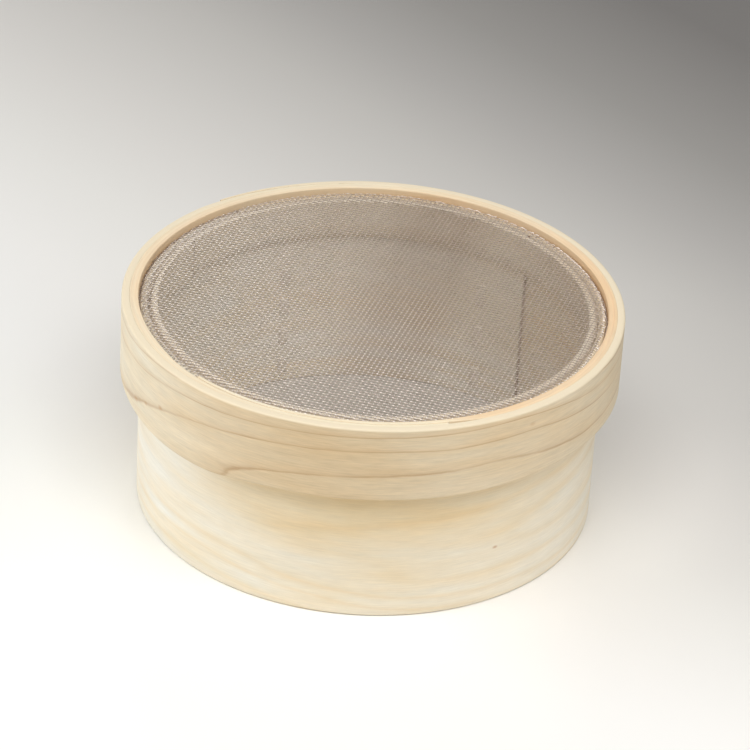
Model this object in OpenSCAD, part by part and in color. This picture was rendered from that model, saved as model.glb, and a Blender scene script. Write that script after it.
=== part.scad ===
/* [Whole sieve] */
// Outer diameter over the pressed-on hoop
sieve_d = 200; // [150:1:300]
// Height from the table to the top of the rim
sieve_h = 89; // [75:0.5:120]

/* [Drum body] */
// Thickness of the bent board that makes the body
body_t = 3.2; // [2.4:0.1:5]
// Thickness of the stiffening ring glued inside the mesh end
ring_t = 3.6; // [2.4:0.1:5]
// Height of the stiffening ring
ring_h = 18; // [12:1:40]

/* [Pressed-on hoop] */
// Height of the hoop
hoop_h = 32.4; // [24:0.1:40]
// Thickness of the hoop's inner ply
inner_ply_t = 3.6; // [2.4:0.1:5]
// Thickness of the hoop's outer ply
outer_ply_t = 3.1; // [2.4:0.1:5]
// How far the rim stands above the wire cloth
lip_h = 1.6; // [0.8:0.1:5]

/* [Wire cloth] */
// Diameter of one wire
wire_d = 0.35; // [0.25:0.05:0.6]
// Distance from wire to wire in the real cloth, 14 to the inch
weave_pitch = 1.814; // [1.6:0.001:3]
// One wire in this many is drawn, the others are left out
drawn_every = 6; // [6:1:12]
// Turn of the weave on the drum, in degrees
weave_turn = 74; // [0:1:90]
// Height of the cloth's folded edge between body and hoop
skirt_h = 26; // [10:1:35]

/* [Lap joints] */
// Thickness left at the blunt tip of each scarfed end
scarf_tip = 0.9; // [0.5:0.1:1.1]
// Width of the glue line along a scarf
seam_w = 0.15; // [0.1:0.05:0.3]
// Where the inner end of the body board lies, in degrees
body_lap_at = 46; // [0:1:359]
// Length of the body board's lap
body_lap_l = 134; // [90:1:160]
// Where the inner end of the stiffening ring lies, in degrees
ring_lap_at = 150; // [0:1:359]
// Length of the stiffening ring's lap
ring_lap_l = 54; // [30:1:90]
// Where the inner end of the hoop's inner ply lies, in degrees
inner_ply_lap_at = 226; // [0:1:359]
// Length of the inner ply's lap
inner_ply_lap_l = 103; // [40:1:120]
// Where the inner end of the hoop's outer ply lies, in degrees
outer_ply_lap_at = 100; // [0:1:359]
// Length of the outer ply's lap
outer_ply_lap_l = 55; // [40:1:90]

/* [Bark lacing] */
// Width of the cherry bark strip
bark_w = 4; // [2.5:0.1:6]
// Thickness of the bark strip
bark_t = 0.5; // [0.3:0.05:0.8]
// Stitches in the strip at the inner end of the body's lap
inner_end_stitches = 5; // [3:2:7]
// Stitches in the strip at the outer end of the body's lap
outer_end_stitches = 7; // [3:2:9]
// Stitches in the strip that laces the hoop
hoop_stitches = 3; // [3:2:5]
// Distance from each end of the body's lap to the middle of its lacing
lace_inset = 22.5; // [10:0.5:35]
// Distance from the body's lower edge to its lacings
foot_margin = 4; // [3:0.5:8]
// Distance from the hoop's lower edge down to the body's lacings
top_margin = 2; // [1.5:0.5:8]
// Distance from the hoop's edges to its lacing
hoop_margin = 5; // [3:0.5:8]

/* [Edges and fits] */
// Rounding of the boards' lower edges
foot_r = 0.8; // [0.3:0.1:1.1]
// Rounding of the rim's outer edge
rim_r = 1.4; // [0.5:0.1:1.6]
// Rounding of the rim's inner edge and the ring's upper edge
lip_r = 0.6; // [0.2:0.1:0.8]
// Rounding of the body's upper edge, which the cloth bends over
bend_r = 1; // [0.5:0.1:1.5]
// Clearance round a wire, a strip of bark or the cloth
fit = 0.03; // [0.02:0.01:0.06]
// Glue line between two rings of wood
glue = 0.04; // [0.02:0.01:0.1]
// Gap between a stitch and the curved face that it lies on
bark_gap = 0.05; // [0.05:0.01:0.1]

/* [Hidden] */
$fn = 96;
// Steps in each rounded corner of a board
corner_steps = 4;
// Overrun of a cut past the faces that it opens
over = 1;
// Share of the drum's radius that still gets straight wires
net_share = 0.96;

// Radii of the nested rings, from the outside in
outer_ply_r = sieve_d / 2;
inner_ply_r = outer_ply_r - outer_ply_t - glue;
hoop_in_r = inner_ply_r - inner_ply_t;
cloth_t = 2 * wire_d;
body_r = hoop_in_r - cloth_t - 2 * fit;
ring_r = body_r - body_t - glue;
ring_in_r = ring_r - ring_t;

// Heights of the seats, from the top down
cloth_top = sieve_h - lip_h;
body_h = cloth_top - cloth_t - fit;
hoop_z = sieve_h - hoop_h;
ring_z = body_h - ring_h;
fold_z = body_h - bend_r;

// Angles of the laps' outer ends, from the lengths of the laps
function turn_of(length, radius) = length / radius * 180 / PI;
body_lap_end = body_lap_at + turn_of(body_lap_l, body_r);
ring_lap_end = ring_lap_at + turn_of(ring_lap_l, ring_r);
inner_ply_lap_end = inner_ply_lap_at + turn_of(inner_ply_lap_l, inner_ply_r);
outer_ply_lap_end = outer_ply_lap_at + turn_of(outer_ply_lap_l, outer_ply_r);

// Angles of the lacings and the heights of their stitches
body_lace_in = body_lap_at + turn_of(lace_inset, body_r);
body_lace_out = body_lap_end - turn_of(lace_inset, body_r);
hoop_lace = (outer_ply_lap_at + outer_ply_lap_end) / 2;
inner_end_stitch_h = (hoop_z - foot_margin - top_margin) / inner_end_stitches;
outer_end_stitch_h = (hoop_z - foot_margin - top_margin) / outer_end_stitches;
hoop_stitch_h = (hoop_h - 2 * hoop_margin) / hoop_stitches;

// Wires on each side of the middle one, and the distance between drawn wires
drawn_pitch = weave_pitch * drawn_every;
side_wires = floor(body_r * net_share / drawn_pitch);

wood = [0.93, 0.86, 0.72];
wood_pale = [0.95, 0.90, 0.79];
wood_peach = [0.94, 0.82, 0.68];
wire_steel = [0.72, 0.70, 0.66];
bark = [0.45, 0.24, 0.15];

// Points of a quarter circle, the rounded corner of a board
function corner(centre, r, from) = [
    for (i = [0:corner_steps])
        centre + r * [cos(from + 90 * i / corner_steps), sin(from + 90 * i / corner_steps)]
];

// The same quarter circle run backwards, for the inside of a fold
function fold_back(centre, r) = [
    for (i = [corner_steps:-1:0])
        centre + r * [cos(90 * i / corner_steps), sin(90 * i / corner_steps)]
];

// Section of a board on edge, rounded at the foot and at the top's two corners
function board_section(r_in, r_out, z0, z1, top_in, top_out) = concat(
    corner([r_in + foot_r, z0 + foot_r], foot_r, 180),
    corner([r_out - foot_r, z0 + foot_r], foot_r, 270),
    corner([r_out - top_out, z1 - top_out], top_out, 0),
    corner([r_in + top_in, z1 - top_in], top_in, 90)
);

module board_ring(r_in, r_out, z0, z1, top_in, top_out) {
    rotate_extrude()
        polygon(board_section(r_in, r_out, z0, z1, top_in, top_out));
}

// Wedge of space between two angles, tall enough for every board
module sector(a0, a1) {
    reach = sieve_d;
    steps = 6;
    rim = [for (i = [0:steps]) reach * [cos(a0 + (a1 - a0) * i / steps), sin(a0 + (a1 - a0) * i / steps)]];
    translate([0, 0, -over])
        linear_extrude(sieve_h + 2 * over)
            polygon(concat([[0, 0]], rim));
}

// Blunt tip at one end of a scarf, cut straight across from r0 to r1
module tip_cut(angle, r0, r1) {
    rotate([0, 0, angle])
        translate([r0, -seam_w / 2, -over])
            cube([r1 - r0, seam_w, sieve_h + 2 * over]);
}

// Scarfed glue line where a bent board laps itself. It lies on a circle whose centre is
// shifted sideways, so it climbs evenly from the inner face at a_in to the outer face at a_out.
module lap_seam(r_in, r_out, a_in, a_out) {
    r0 = r_in + scarf_tip;
    r1 = r_out - scarf_tip;
    middle = (a_in + a_out) / 2;
    shift = (r1 - r0) / (2 * sin((a_out - a_in) / 2));
    seam_r = sqrt(r0 * r1 + shift * shift);
    intersection() {
        translate([-shift * sin(middle), shift * cos(middle), -over])
            difference() {
                cylinder(r = seam_r + seam_w / 2, h = sieve_h + 2 * over);
                translate([0, 0, -over])
                    cylinder(r = seam_r - seam_w / 2, h = sieve_h + 4 * over);
            }
        sector(a_in, a_out);
    }
    tip_cut(a_in, r_in - over, r0);
    tip_cut(a_out, r1, r_out + over);
}

// Slits that a strip of bark passes through, in a wall from r_in to r_out
module lace_slits(angle, r_in, r_out, z0, stitches, stitch_h) {
    for (i = [0:stitches])
        rotate([0, 0, angle])
            translate([r_in - over, -bark_w / 2 - fit, z0 + i * stitch_h - bark_t / 2 - fit])
                cube([r_out - r_in + 2 * over, bark_w + 2 * fit, bark_t + 2 * fit]);
}

// Strip of bark in running stitch: its stitches lie on the inner and the outer face in
// turn, first and last on the same face, and its ends are tucked into the end slits.
module bark_strip(angle, r_in, r_out, z0, stitches, stitch_h, inside_first) {
    outside = r_out + bark_gap;
    inside = r_in - bark_gap - bark_t;
    middle = (r_in + r_out) / 2;
    rotate([0, 0, angle])
        translate([0, -bark_w / 2, z0 - bark_t / 2]) {
            for (i = [0:stitches - 1])
                translate([(i % 2 == 0) == inside_first ? inside : outside, 0, i * stitch_h])
                    cube([bark_t, bark_w, stitch_h + bark_t]);
            for (i = [1:stitches - 1])
                translate([inside, 0, i * stitch_h])
                    cube([outside - inside + bark_t, bark_w, bark_t]);
            for (i = [0, stitches])
                translate([inside_first ? inside : middle, 0, i * stitch_h])
                    cube([inside_first ? middle - inside : outside - middle + bark_t, bark_w, bark_t]);
        }
}

// Straight wires of one layer, from edge to edge of the flat part of the cloth
module wire_layer(layer) {
    flat_r = body_r - bend_r - fit;
    for (i = [-side_wires:side_wires]) {
        offset_y = i * drawn_pitch;
        far_y = abs(offset_y) + wire_d / 2;
        reach = sqrt(flat_r * flat_r - far_y * far_y);
        translate([-reach, offset_y, body_h + fit + (layer + 0.5) * wire_d])
            rotate([0, 90, 0])
                cylinder(d = wire_d, h = 2 * reach);
    }
}

module body_board() {
    r_in = body_r - body_t;
    color(wood)
        difference() {
            board_ring(r_in, body_r, 0, body_h, lip_r, bend_r);
            lap_seam(r_in, body_r, body_lap_at, body_lap_end);
            lace_slits(body_lace_in, r_in, body_r, foot_margin, inner_end_stitches, inner_end_stitch_h);
            lace_slits(body_lace_out, r_in, body_r, foot_margin, outer_end_stitches, outer_end_stitch_h);
        }
}

module stiffening_ring() {
    color(wood_pale)
        difference() {
            board_ring(ring_in_r, ring_r, ring_z, body_h, lip_r, lip_r);
            lap_seam(ring_in_r, ring_r, ring_lap_at, ring_lap_end);
        }
}

module warp_wires() {
    color(wire_steel)
        rotate([0, 0, weave_turn])
            wire_layer(0);
}

module weft_wires() {
    color(wire_steel)
        rotate([0, 0, weave_turn + 90])
            wire_layer(1);
}

// Edge of the cloth, folded over the body's rounded edge and down between body and hoop
module cloth_fold() {
    inner = bend_r + fit;
    outer = inner + cloth_t;
    centre = [body_r - bend_r, fold_z];
    skirt_z = fold_z - skirt_h;
    color(wire_steel)
        rotate_extrude()
            polygon(concat(
                [[centre[0] + inner, skirt_z], [centre[0] + outer, skirt_z]],
                corner(centre, outer, 0),
                fold_back(centre, inner)
            ));
}

module hoop_inner_ply() {
    color(wood_peach)
        difference() {
            board_ring(hoop_in_r, inner_ply_r, hoop_z, sieve_h, lip_r, lip_r);
            lap_seam(hoop_in_r, inner_ply_r, inner_ply_lap_at, inner_ply_lap_end);
            lace_groove();
        }
}

// Shallow groove in the inner ply's outer face, where the hoop's lacing crosses behind
module lace_groove() {
    depth = bark_gap + bark_t + fit;
    height = hoop_stitches * hoop_stitch_h + bark_t + 2 * fit;
    rotate([0, 0, hoop_lace])
        translate([inner_ply_r + glue - depth, -bark_w / 2 - fit, hoop_z + hoop_margin - bark_t / 2 - fit])
            cube([depth + over, bark_w + 2 * fit, height]);
}

module hoop_outer_ply() {
    r_in = outer_ply_r - outer_ply_t;
    color(wood)
        difference() {
            board_ring(r_in, outer_ply_r, hoop_z, sieve_h, lip_r, rim_r);
            lap_seam(r_in, outer_ply_r, outer_ply_lap_at, outer_ply_lap_end);
            lace_slits(hoop_lace, r_in, outer_ply_r, hoop_z + hoop_margin, hoop_stitches, hoop_stitch_h);
        }
}

module body_lacing_inner_end() {
    color(bark)
        bark_strip(body_lace_in, body_r - body_t, body_r, foot_margin, inner_end_stitches,
                   inner_end_stitch_h, true);
}

module body_lacing_outer_end() {
    color(bark)
        bark_strip(body_lace_out, body_r - body_t, body_r, foot_margin, outer_end_stitches,
                   outer_end_stitch_h, true);
}

module hoop_lacing() {
    r_in = outer_ply_r - outer_ply_t;
    color(bark)
        bark_strip(hoop_lace, r_in, outer_ply_r, hoop_z + hoop_margin, hoop_stitches,
                   hoop_stitch_h, false);
}

body_board();
stiffening_ring();
warp_wires();
weft_wires();
cloth_fold();
hoop_inner_ply();
hoop_outer_ply();
body_lacing_inner_end();
body_lacing_outer_end();
hoop_lacing();
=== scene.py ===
# %% [markdown]
# # A drum sieve of bent wood and wire cloth
# The sieve stands on its open lower edge. A thin board, bent into a drum, carries a woven
# wire cloth on its upper edge. A wooden hoop of two plies is pressed over the cloth's folded
# edge and keeps it tight. Strips of bark lace the laps of the boards.
#
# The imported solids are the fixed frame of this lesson: they say where everything is. The
# pieces that the eye sees are built over them with more detail, and stay inside their box.

# %% Load the frame
import math

import bpy
import numpy as np
from mathutils import Matrix, Vector


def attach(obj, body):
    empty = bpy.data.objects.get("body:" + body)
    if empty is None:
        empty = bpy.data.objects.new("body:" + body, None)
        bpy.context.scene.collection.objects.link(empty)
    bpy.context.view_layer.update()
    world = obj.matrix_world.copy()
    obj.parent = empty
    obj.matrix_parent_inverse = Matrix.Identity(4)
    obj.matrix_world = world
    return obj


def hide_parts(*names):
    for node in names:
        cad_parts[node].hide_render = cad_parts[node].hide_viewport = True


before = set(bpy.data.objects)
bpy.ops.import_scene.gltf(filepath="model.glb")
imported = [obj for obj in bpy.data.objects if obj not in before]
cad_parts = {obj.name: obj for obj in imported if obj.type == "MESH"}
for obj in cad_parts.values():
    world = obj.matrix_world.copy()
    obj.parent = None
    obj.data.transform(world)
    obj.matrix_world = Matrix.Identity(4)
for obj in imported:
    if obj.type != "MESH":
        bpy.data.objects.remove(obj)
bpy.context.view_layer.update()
print("solids:", ", ".join(sorted(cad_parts)))

# %% [markdown]
# ## The measures of the pieces
# The sizes of the solids, in millimetres, because a maker thinks in them. All rings are
# nested: outer ply, inner ply, cloth, body and stiffening ring. The cloth is flat out to
# FLAT_R and bends down with the radius BEND_R, a little more softly than in the solids.
# Angles are in degrees round the drum, from +X; the front of the sieve is at 270.

# %% Measures in millimetres
MM = 0.001
HOOP_R = 100.0
RIM_TOP = 89.0
OUTER_PLY_T = 3.1
INNER_PLY_T = 3.6
BODY_R = 92.5
BODY_T = 3.2
RING_T = 3.6
RING_H = 18.0
GLUE = 0.04
FIT = 0.03
INNER_PLY_R = HOOP_R - OUTER_PLY_T - GLUE
HOOP_IN_R = INNER_PLY_R - INNER_PLY_T
RING_R = BODY_R - BODY_T - GLUE
WIRE = 0.35
PITCH = 1.814
CLOTH_Z = 87.05
SEAT_Z = CLOTH_Z - WIRE - FIT
WEAVE_TURN = 74.0
FLAT_R = 91.2
BEND_R = 1.68
print("hoop wall", round(HOOP_R - HOOP_IN_R, 2), "mm, cloth", 2 * WIRE, "mm thick")

# %% [markdown]
# ## Small helpers
# Smooth steps and smooth closed curves shape the boards. Colours are written as the eye
# reads them, from 0 to 255, and turned into the light values that Blender works with. Two
# more helpers add an object to the scene and tell the frame which solid it stands for.

# %% Helpers for shapes and colours
def ease(x):
    """Smooth step from 0 to 1, for an array or a number"""
    x = np.clip(x, 0.0, 1.0)
    return x * x * (3.0 - 2.0 * x)


def round_curve(points, softness=5.0):
    """Smooth closed curve through (degrees, value) points, as a function of degrees"""
    where = np.array([p[0] for p in points], float)
    value = np.array([p[1] for p in points], float)
    fine = np.arange(0.0, 360.0)
    line = np.interp(fine, where, value, period=360.0)
    away = np.minimum(fine, 360.0 - fine)
    bell = np.exp(-0.5 * (away / softness) ** 2)
    soft = np.real(np.fft.ifft(np.fft.fft(line) * np.fft.fft(bell / bell.sum())))
    return lambda degrees: np.interp(np.mod(degrees, 360.0), fine, soft, period=360.0)


def paint(red, green, blue):
    """Colour as a painter reads it, 0 to 255, in linear light"""
    seen = np.array([red, green, blue]) / 255.0
    light = np.where(seen <= 0.04045, seen / 12.92, ((seen + 0.055) / 1.055) ** 2.4)
    return (*[float(v) for v in light], 1.0)


def add_object(name, data):
    """New object in the scene, for a mesh, a lamp or a camera"""
    made = bpy.data.objects.new(name, data)
    bpy.context.scene.collection.objects.link(made)
    return made


def stand_for(piece, node):
    """Lets a piece take the place of a solid"""
    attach(piece, "root")
    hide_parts(node)


print("cream in linear light:", [round(v, 3) for v in paint(240, 225, 192)])

# %% [markdown]
# ## A board that is bent and lapped
# Each wooden ring is one long board. Its inner end starts thin, with a blunt tip, and grows
# thicker along a scarf. The board then runs once round the drum and its outer end lies on
# that scarf and thins out again. A rounded section is carried along this path, one station
# after the other, which keeps the long faces clean and gives the real step at each tip. A
# plain ring with a drawn line would show neither the tips nor the small gaps behind them.
#
# The mesh also stores, at each point, where that point lies in the flat board: along, deep
# and up, in millimetres. The wood's grain follows the board round the bend in this way.

# %% Stations along a board
def stations(start, lap, step):
    """Angles from a board's inner end to its outer end, closer together near both tips"""
    end = start + 360.0 + lap
    plain = np.arange(start, end, step)
    near = np.array([0.0, 0.08, 0.2, 0.4, 0.7, 1.2])
    spots = [start + near, end - near]
    for tip in (start + lap, start + 360.0):
        spots += [tip - near, tip + near]
    every = np.unique(np.round(np.concatenate([plain, *spots, [end]]), 3))
    return every[(every >= start) & (every <= end)]


print("a board with a lap of 30 degrees has", len(stations(0.0, 30.0, 1.0)), "stations")


# %% Radii of a board and its scarfs
def board_radii(s, start, lap, r_in, r_out, tip, lift, settle, glue=0.1):
    """Inner and outer radius of a board along its path, with a scarf at both ends"""
    rise = r_out - r_in - 2.0 * tip
    first = (s - start) / lap
    second = (s - start - 360.0) / lap
    outer = np.full_like(s, r_out)
    outer -= (tip + glue / 2) * (1.0 - np.clip((s - start - lap) / settle, 0.0, 1.0))
    outer = np.where(first <= 1.0, r_in + tip + rise * first - glue / 2, outer)
    inner = np.full_like(s, r_in)
    inner += (tip + glue / 2) * ease((s - start - 360.0 + lift) / lift)
    inner = np.where(second >= 0.0, r_in + tip + rise * second + glue / 2, inner)
    return inner, outer


scarf_in, scarf_out = board_radii(np.array([15.0]), 0.0, 30.0, 90.0, 93.0, 1.0, 5.0, 5.0)
print("a 3 mm board is", round(float(scarf_out[0] - scarf_in[0]), 2), "mm thick halfway up its scarf")


# %% Rounded section of a board
CORNER_SHARE = 0.42
SLOPE_SHARE = 0.75


def board_section(r_in, r_out, foot, top, rounding, rows, crown):
    """Radius and height of the points round a board's section, per station. A corner's
    rounding is one size, or a width and a height that make a long slope. It takes no more
    than its share of the board's thickness, so it shrinks with the board at a scarf"""
    thick = r_out - r_in
    arc = np.radians(np.linspace(0.0, 90.0, 5))
    corners = []
    places = (
        (r_in, foot, 1.0, 1.0, 180.0, rounding[0]),
        (r_out, foot, -1.0, 1.0, 270.0, rounding[1]),
        (r_out, top, -1.0, -1.0, 0.0, rounding[2]),
        (r_in, top, 1.0, -1.0, 90.0, rounding[3]),
    )
    for radius, height, side, up, turn, size in places:
        wide, tall = size if isinstance(size, tuple) else (size, size)
        slope = tall > wide
        wide = np.minimum(wide, (SLOPE_SHARE if slope else CORNER_SHARE) * thick)
        tall = np.full_like(wide, tall) if slope else wide
        angle = arc + math.radians(turn)
        r = (radius + side * wide)[:, None] + wide[:, None] * np.cos(angle)
        z = (height + up * tall)[:, None] + tall[:, None] * np.sin(angle)
        corners.append((r, z))
    flats = (2, rows, crown, rows)
    r_all = []
    z_all = []
    for k in range(4):
        r, z = corners[k]
        nr, nz = corners[(k + 1) % 4]
        share = np.linspace(0.0, 1.0, flats[k] + 1)[1:-1]
        r_all += [r, r[:, -1:] + (nr[:, :1] - r[:, -1:]) * share]
        z_all += [z, z[:, -1:] + (nz[:, :1] - z[:, -1:]) * share]
    return np.hstack(r_all), np.hstack(z_all)


sizes = [np.array([v]) for v in (90.0, 93.0, 0.0, 80.0)]
section_r, section_z = board_section(*sizes, (0.5, 0.5, 0.5, 0.5), 20, 3)
print("its section has", section_r.shape[1], "points, over", float(np.ptp(section_z)), "mm of height")


# %% Mesh of a bent board
piece_length = {}
SHARP_EDGE = 50.0


def store(mesh, name, kind, values):
    """Keeps one value at each point of a mesh"""
    made = mesh.attributes.new(name, kind, "POINT")
    key = "vector" if kind == "FLOAT_VECTOR" else "value"
    made.data.foreach_set(key, np.asarray(values, np.float32).ravel())


def bent_board(name, start, lap, radii, foot, top, rounding, rows, age, shift=None, crown=3,
               marks=None):
    """Closed mesh of a lapped board, with its grain stored at each point. radii are inner and
    outer radius, blunt tip, and the degrees over which a face leaves and meets the scarf"""
    s = stations(start, lap, 1.0)
    r_in, r_out, tip, lift, settle = radii
    inner, outer = board_radii(s, start, lap, r_in, r_out, tip, lift, settle)
    if shift is not None:
        inner = shift(inner, s)
        outer = shift(outer, s)
    low = foot(s) if callable(foot) else np.full_like(s, foot)
    high = np.full_like(s, top)
    r, z = board_section(inner, outer, low, high, rounding, rows, crown)
    count, ring = r.shape
    turn = np.radians(s)[:, None]
    spots = np.stack([r * np.cos(turn), r * np.sin(turn), z], axis=2).reshape(-1, 3) * MM
    here = (np.arange(count - 1)[:, None] * ring + np.arange(ring)[None]).ravel()
    along = (np.arange(count - 1)[:, None] * ring + (np.arange(ring)[None] + 1) % ring).ravel()
    quads = np.stack([here, here + ring, along + ring, along], axis=1).tolist()
    caps = [list(range(ring)), [count * ring - 1 - k for k in range(ring)]]
    mesh = bpy.data.meshes.new(name)
    mesh.from_pydata(spots.tolist(), [], quads + caps)
    middle = (r_in + r_out) / 2
    length = np.repeat(np.radians(s - start) * middle, ring)
    depth = (outer[:, None] - r).ravel()
    store(mesh, "grain", "FLOAT_VECTOR", np.stack([length, depth, z.ravel()], axis=1))
    store(mesh, "age", "FLOAT", age(np.repeat(s, ring), z.ravel(), depth))
    for key, share in (marks or {}).items():
        store(mesh, key, "FLOAT", share(np.repeat(s, ring), z.ravel(), depth, r.ravel()))
    piece_length[name] = float(length.max())
    mesh.polygons.foreach_set("use_smooth", [True] * len(mesh.polygons))
    mesh.set_sharp_from_angle(angle=math.radians(SHARP_EDGE))
    print(name, "runs", round(float(length.max())), "mm in", count, "stations,", len(quads), "faces")
    return add_object(name, mesh)


# %% [markdown]
# ## Where the growth lines run
# Cypress is sawn flat, so its growth lines run along the board in long waves and close into
# narrow noses. Each line gets a number and a few points, in degrees and millimetres up. A
# thin sheet, bent to pass those points at those numbers, gives the age of the wood at every
# place between them, in the way that a map's heights lie between its contours. Drawing each
# line as its own curve would leave the wood between them flat, and a noise alone never
# makes a nose where the board has one.

# %% Age of the wood between the lines
def age_field(lines, mm_per_degree, stretch=6.0, loosen=0.01):
    """Sheet of ages through numbered lines of (degrees, height) points"""
    spots = [(d * mm_per_degree / stretch, z) for _, points in lines for d, z in points]
    at = np.array(spots) / 10.0
    age = np.array([number for number, points in lines for _ in points], float)

    def bend(a, b):
        gap = ((a[:, None, :] - b[None, :, :]) ** 2).sum(axis=2)
        return 0.5 * gap * np.log(gap + 1e-9)

    many = len(at)
    flat = np.hstack([np.ones((many, 1)), at])
    system = np.block([[bend(at, at) + loosen * np.eye(many), flat], [flat.T, np.zeros((3, 3))]])
    weight = np.linalg.solve(system, np.concatenate([age, np.zeros(3)]))

    def field(degrees, height):
        here = np.stack([degrees * mm_per_degree / stretch, height], axis=1) / 10.0
        sheet = bend(here, at) @ weight[:many]
        return sheet + weight[many] + here @ weight[many + 1:]

    print(many, "points hold", len({n for n, _ in lines}), "growth lines")
    return field


# %% Growth lines of the hoop's face
HOOP_LINES = [
    (0, [(120, 86), (160, 85), (204, 86), (219, 88), (235, 89.5), (270, 92), (305, 93), (330, 89),
         (342, 87.3), (380, 87), (440, 86), (490, 85)]),
    (1, [(110, 78), (160, 76.5), (197, 77.8), (210, 79.8), (225, 82.3), (237, 83.4), (250, 84.3),
         (262, 85.1), (275, 85.6), (295, 86.3), (304, 86.7), (317, 85.1), (330, 82.4), (344, 82),
         (380, 81.5), (440, 79.5), (490, 78)]),
    (2, [(110, 58), (160, 55), (180, 55.5), (197, 59), (205, 62), (211, 65.2), (218, 69.3),
         (226, 73), (235, 74.8), (250, 77.1), (262, 78.3), (279, 79.4), (290, 78.9),
         (309, 79.9), (320, 77.9), (335, 75.8), (380, 75), (440, 72), (490, 71)]),
    (3, [(150, 45), (200, 46), (225, 50), (238, 55), (240, 60), (243, 62.5), (252, 65.3),
         (266, 68), (281, 68.4), (294, 69.9), (300, 70.8), (310, 68.3), (322, 66.1), (336, 65.6),
         (380, 66), (440, 65), (490, 64)]),
    (4, [(262, 52), (300, 55), (330, 54), (380, 54), (440, 53), (490, 53)]),
]
hoop_age = age_field(HOOP_LINES, math.radians(HOOP_R))

# %% Growth lines of the body
BODY_LINES = [
    (1, [(60, 4), (120, 5), (160, 4.5), (200, 5.5), (225, 6), (245, 3), (255, 1.5), (270, -1),
         (330, -4), (400, -3), (470, -3)]),
    (2, [(60, 11), (120, 12), (160, 11), (200, 12), (216, 13.2), (229, 13.5), (240, 11.5),
         (260, 7.5), (277, 3.5), (287, 2.8), (330, 1), (400, 2), (470, 2)]),
    (3, [(60, 19), (120, 20), (160, 18), (191, 18.5), (227, 19.2), (237, 19), (252, 14),
         (272, 9.7), (291, 8), (319, 6.5), (331, 5.5), (400, 7), (470, 8)]),
    (3, [(60, 66), (120, 60), (191, 55), (227, 54), (260, 55), (300, 58), (336, 62),
         (400, 66), (470, 68)]),
    (4, [(252.5, 35), (256, 37), (275, 40.9), (291, 43), (300, 43.8), (336, 47), (400, 50),
         (470, 52), (256, 32), (267, 28.8), (275, 27), (280, 22.5), (282, 18), (300, 15.8),
         (325, 15.5), (400, 16), (470, 17)]),
    (5, [(307.5, 30), (311, 32.5), (326, 36.8), (336, 39.5), (400, 42), (470, 43), (311, 27.5),
         (325, 23.5), (336, 24), (400, 25), (470, 26)]),
    (3.5, [(60, 36), (120, 38), (191, 34), (235, 34)]),
]
body_age = age_field(BODY_LINES, math.radians(BODY_R))

# %% [markdown]
# ## Wood, built once and mixed for each board
# One node group draws the grain for all boards. It reads the age and the place in the flat
# board from the mesh. Wood darkens slowly towards a growth line and turns pale at once
# behind it, so the line's profile is not the same on both sides. Fine fibres, longer streaks
# and a broad cloudiness lie over it. The group puts out colour, roughness and height, and
# each board's own shader takes them.

# %% Helpers for nodes
def put(tree, kind, settings=None, inputs=None, out=0):
    """Adds a node, sets it, links or fills its inputs, and returns one of its outputs"""
    made = tree.nodes.new(kind)
    for key, value in (settings or {}).items():
        setattr(made, key, value)
    for key, value in (inputs or {}).items():
        if isinstance(value, bpy.types.NodeSocket):
            tree.links.new(value, made.inputs[key])
        else:
            made.inputs[key].default_value = value
    return made.outputs[out]


def sums(tree, operation, *values):
    """One step of arithmetic on numbers or sockets"""
    return put(tree, "ShaderNodeMath", {"operation": operation}, dict(enumerate(values)))


def mixed(tree, share, first, second, mode="MIX"):
    """Two colours mixed by a share"""
    settings = {"data_type": "RGBA", "blend_type": mode}
    return put(tree, "ShaderNodeMix", settings, {0: share, 6: first, 7: second}, 2)


def ranged(tree, value, low, high, first=0.0, last=1.0, kind="SMOOTHSTEP"):
    """Goes from first to last while a value goes from low to high"""
    return put(tree, "ShaderNodeMapRange", {"interpolation_type": kind},
               {0: value, 1: low, 2: high, 3: first, 4: last})


def from_axis(tree, at):
    """Distance of a place from the drum's axis"""
    level = put(tree, "ShaderNodeVectorMath", {"operation": "MULTIPLY"}, {0: at, 1: (1.0, 1.0, 0.0)})
    return put(tree, "ShaderNodeVectorMath", {"operation": "LENGTH"}, {0: level}, 1)


def cloudy(tree, place, stretch, detail=2.0, rough=0.5):
    """Noise on a place that is stretched, from about -1 to 1"""
    there = put(tree, "ShaderNodeVectorMath", {"operation": "MULTIPLY"}, {0: place, 1: stretch})
    noise = put(tree, "ShaderNodeTexNoise", None,
                {"Vector": there, "Scale": 1.0, "Detail": detail, "Roughness": rough})
    return ranged(tree, noise, 0.3, 0.7, -1.0, 1.0, "LINEAR")


def ramp(tree, value, stops):
    """Colour at a value, from (place, colour) stops"""
    made = tree.nodes.new("ShaderNodeValToRGB")
    tree.links.new(value, made.inputs[0])
    band = made.color_ramp
    while len(band.elements) < len(stops):
        band.elements.new(0.5)
    for element, (where, colour) in zip(band.elements, stops):
        element.position = where
        element.color = colour
    return made.outputs[0]


def profile(tree, value, stops):
    """Height of a given profile at a value, from (place, height) stops"""
    drawn = ramp(tree, value, [(where, (height, height, height, 1.0)) for where, height in stops])
    return put(tree, "ShaderNodeSeparateColor", None, {0: drawn})


def new_material(name):
    """New material, its tree and its main shader"""
    material = bpy.data.materials.new(name)
    material.use_nodes = True
    tree = material.node_tree
    return material, tree, tree.nodes["Principled BSDF"]


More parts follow.
